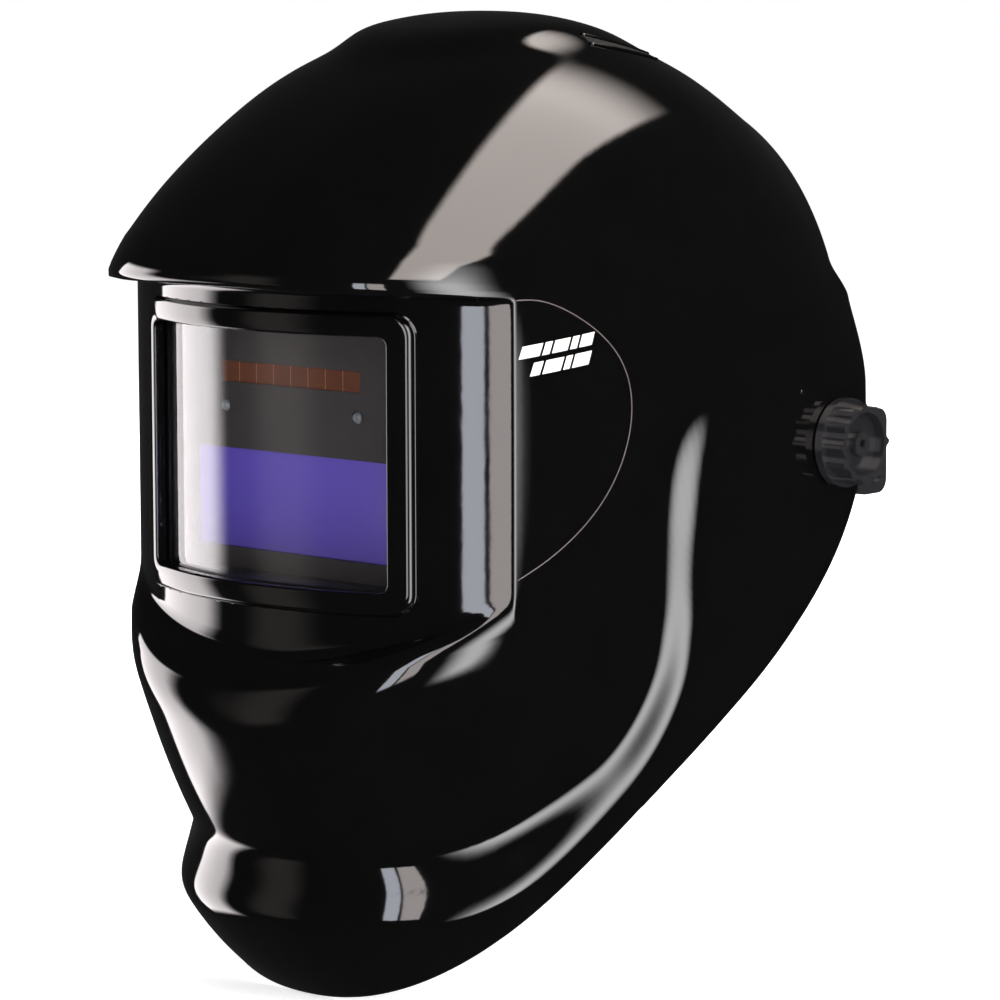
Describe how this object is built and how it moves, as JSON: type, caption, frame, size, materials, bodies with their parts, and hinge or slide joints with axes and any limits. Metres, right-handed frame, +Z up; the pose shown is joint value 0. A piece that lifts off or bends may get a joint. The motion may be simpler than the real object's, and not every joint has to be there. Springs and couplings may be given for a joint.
{
  "type": "welding helmet",
  "caption": "Gloss black welding helmet: one-piece moulded shell with auto-darkening window, side pivot knobs and adjustable headgear.",
  "frame": {"origin": "midpoint between the two side pivots, inside the wearer's head at ear level", "axes": "+Z up; the window faces -Y; +X is the wearer's left"},
  "size_m": [0.2598, 0.3335, 0.3431],
  "materials": {
    "shell_gloss": "high gloss moulded black",
    "clear_polycarbonate": "clear polished",
    "black_rubber": "matte",
    "black_nylon": "moulded satin",
    "case_plastic": "fine moulded texture",
    "knob_plastic": "semi gloss moulded",
    "zinc_steel": "zinc plated",
    "brass": "machined brass",
    "violet_filter_glass": "interference coated",
    "crystal_glass": "polished",
    "solar_cells": "glassy brown amorphous cells",
    "sensor_lens": "glassy",
    "circuit_laminate": "solder mask",
    "blue_plastic": "moulded",
    "grey_plastic": "moulded",
    "friction_fibre": "pressed fibre",
    "headgear_plastic": "moulded satin",
    "sweatband_fabric": "padded cloth"
  },
  "bodies": {
    "headgear": {"headband": "headgear_plastic", "sweatband": "sweatband_fabric", "side_arm_left": "headgear_plastic", "side_arm_right": "headgear_plastic", "arm_rivets": "zinc_steel", "crown_strap_left": "headgear_plastic", "crown_strap_right": "headgear_plastic", "crown_peg": "headgear_plastic", "strap_rivets": "zinc_steel", "rear_strap_left": "headgear_plastic", "rear_strap_right": "headgear_plastic"},
    "nape_ratchet": {"ratchet_housing": "headgear_plastic", "ratchet_cover": "headgear_plastic", "ratchet_screws": "zinc_steel", "pawl_spring": "zinc_steel", "nape_pad": "sweatband_fabric"},
    "ratchet_knob": {"ratchet_knob": "knob_plastic", "ratchet_pinion": "grey_plastic"},
    "pivot_carrier": {"pivot_bolt_left": "black_nylon", "pivot_bolt_right": "black_nylon", "friction_washer_left": "friction_fibre", "friction_washer_right": "friction_fibre", "outer_washer_left": "black_rubber", "outer_washer_right": "black_rubber"},
    "tilt_lever_left": {"tilt_lever_left": "black_nylon"},
    "tilt_lever_right": {"tilt_lever_right": "black_nylon"},
    "knob_left": {"knob_left": "knob_plastic", "knob_insert_left": "brass"},
    "knob_right": {"knob_right": "knob_plastic", "knob_insert_right": "brass"},
    "shell": {"shell": "shell_gloss", "cover_lens": "clear_polycarbonate", "lens_gasket": "black_rubber", "filter_holder": "black_nylon", "holder_screws": "zinc_steel", "cartridge_front": "case_plastic", "cartridge_back": "case_plastic", "interference_filter": "violet_filter_glass", "liquid_crystal_cell": "crystal_glass", "rear_polariser": "crystal_glass", "solar_panel": "solar_cells", "arc_sensors": "sensor_lens", "circuit_board": "circuit_laminate", "coin_cells": "zinc_steel", "potentiometers": "blue_plastic", "inner_cover_lens": "clear_polycarbonate", "pivot_bush_left": "black_nylon", "pivot_bush_right": "black_nylon"},
    "filter_retainer": {"filter_retainer": "black_nylon", "retainer_pins": "zinc_steel"},
    "shade_dial": {"shade_dial": "case_plastic"},
    "sensitivity_dial": {"sensitivity_dial": "case_plastic"},
    "delay_slider": {"delay_slider": "grey_plastic"}
  },
  "joints": [
    {"name": "distance_slide", "type": "slide", "parent": "headgear", "child": "pivot_carrier", "axis": [0, -1, 0], "range_m": [-0.009, 0.009]},
    {"name": "shell_tilt", "type": "hinge", "parent": "pivot_carrier", "child": "shell", "pos_m": [0, 0, 0], "axis": [-1, 0, 0], "range_deg": [0, 63]},
    {"name": "knob_left_turn", "type": "hinge", "parent": "pivot_carrier", "child": "knob_left", "pos_m": [0.12, 0, 0], "axis": [1, 0, 0], "range_deg": [-180, 180]},
    {"name": "knob_right_turn", "type": "hinge", "parent": "pivot_carrier", "child": "knob_right", "pos_m": [-0.12, 0, 0], "axis": [-1, 0, 0], "range_deg": [-180, 180]},
    {"name": "tilt_lever_left_turn", "type": "hinge", "parent": "pivot_carrier", "child": "tilt_lever_left", "pos_m": [0.11, 0, 0], "axis": [1, 0, 0], "range_deg": [-10, 10]},
    {"name": "tilt_lever_right_turn", "type": "hinge", "parent": "pivot_carrier", "child": "tilt_lever_right", "pos_m": [-0.11, 0, 0], "axis": [1, 0, 0], "range_deg": [-10, 10]},
    {"name": "retainer_swing", "type": "hinge", "parent": "shell", "child": "filter_retainer", "pos_m": [0, -0.1455, -0.0472], "axis": [-1, 0, 0], "range_deg": [0, 18]},
    {"name": "shade_dial_turn", "type": "hinge", "parent": "shell", "child": "shade_dial", "pos_m": [0.028, -0.149, 0.0202], "axis": [0, 1, 0], "range_deg": [-135, 135]},
    {"name": "sensitivity_dial_turn", "type": "hinge", "parent": "shell", "child": "sensitivity_dial", "pos_m": [-0.028, -0.149, 0.0202], "axis": [0, 1, 0], "range_deg": [-135, 135]},
    {"name": "delay_slide", "type": "slide", "parent": "shell", "child": "delay_slider", "axis": [1, 0, 0], "range_m": [-0.003, 0.003]},
    {"name": "nape_slide", "type": "slide", "parent": "headgear", "child": "nape_ratchet", "axis": [0, 1, 0], "range_m": [-0.0125, 0.0125], "deforming": ["rear_strap_left", "rear_strap_right"]},
    {"name": "ratchet_turn", "type": "hinge", "parent": "nape_ratchet", "child": "ratchet_knob", "pos_m": [0, 0.115, -0.045], "axis": [0, 1, 0], "range_deg": [-120, 120]}
  ],
  "couplings": [
    {"joint": "ratchet_turn", "follows": "nape_slide", "rad_per_m": 166.67}
  ]
}
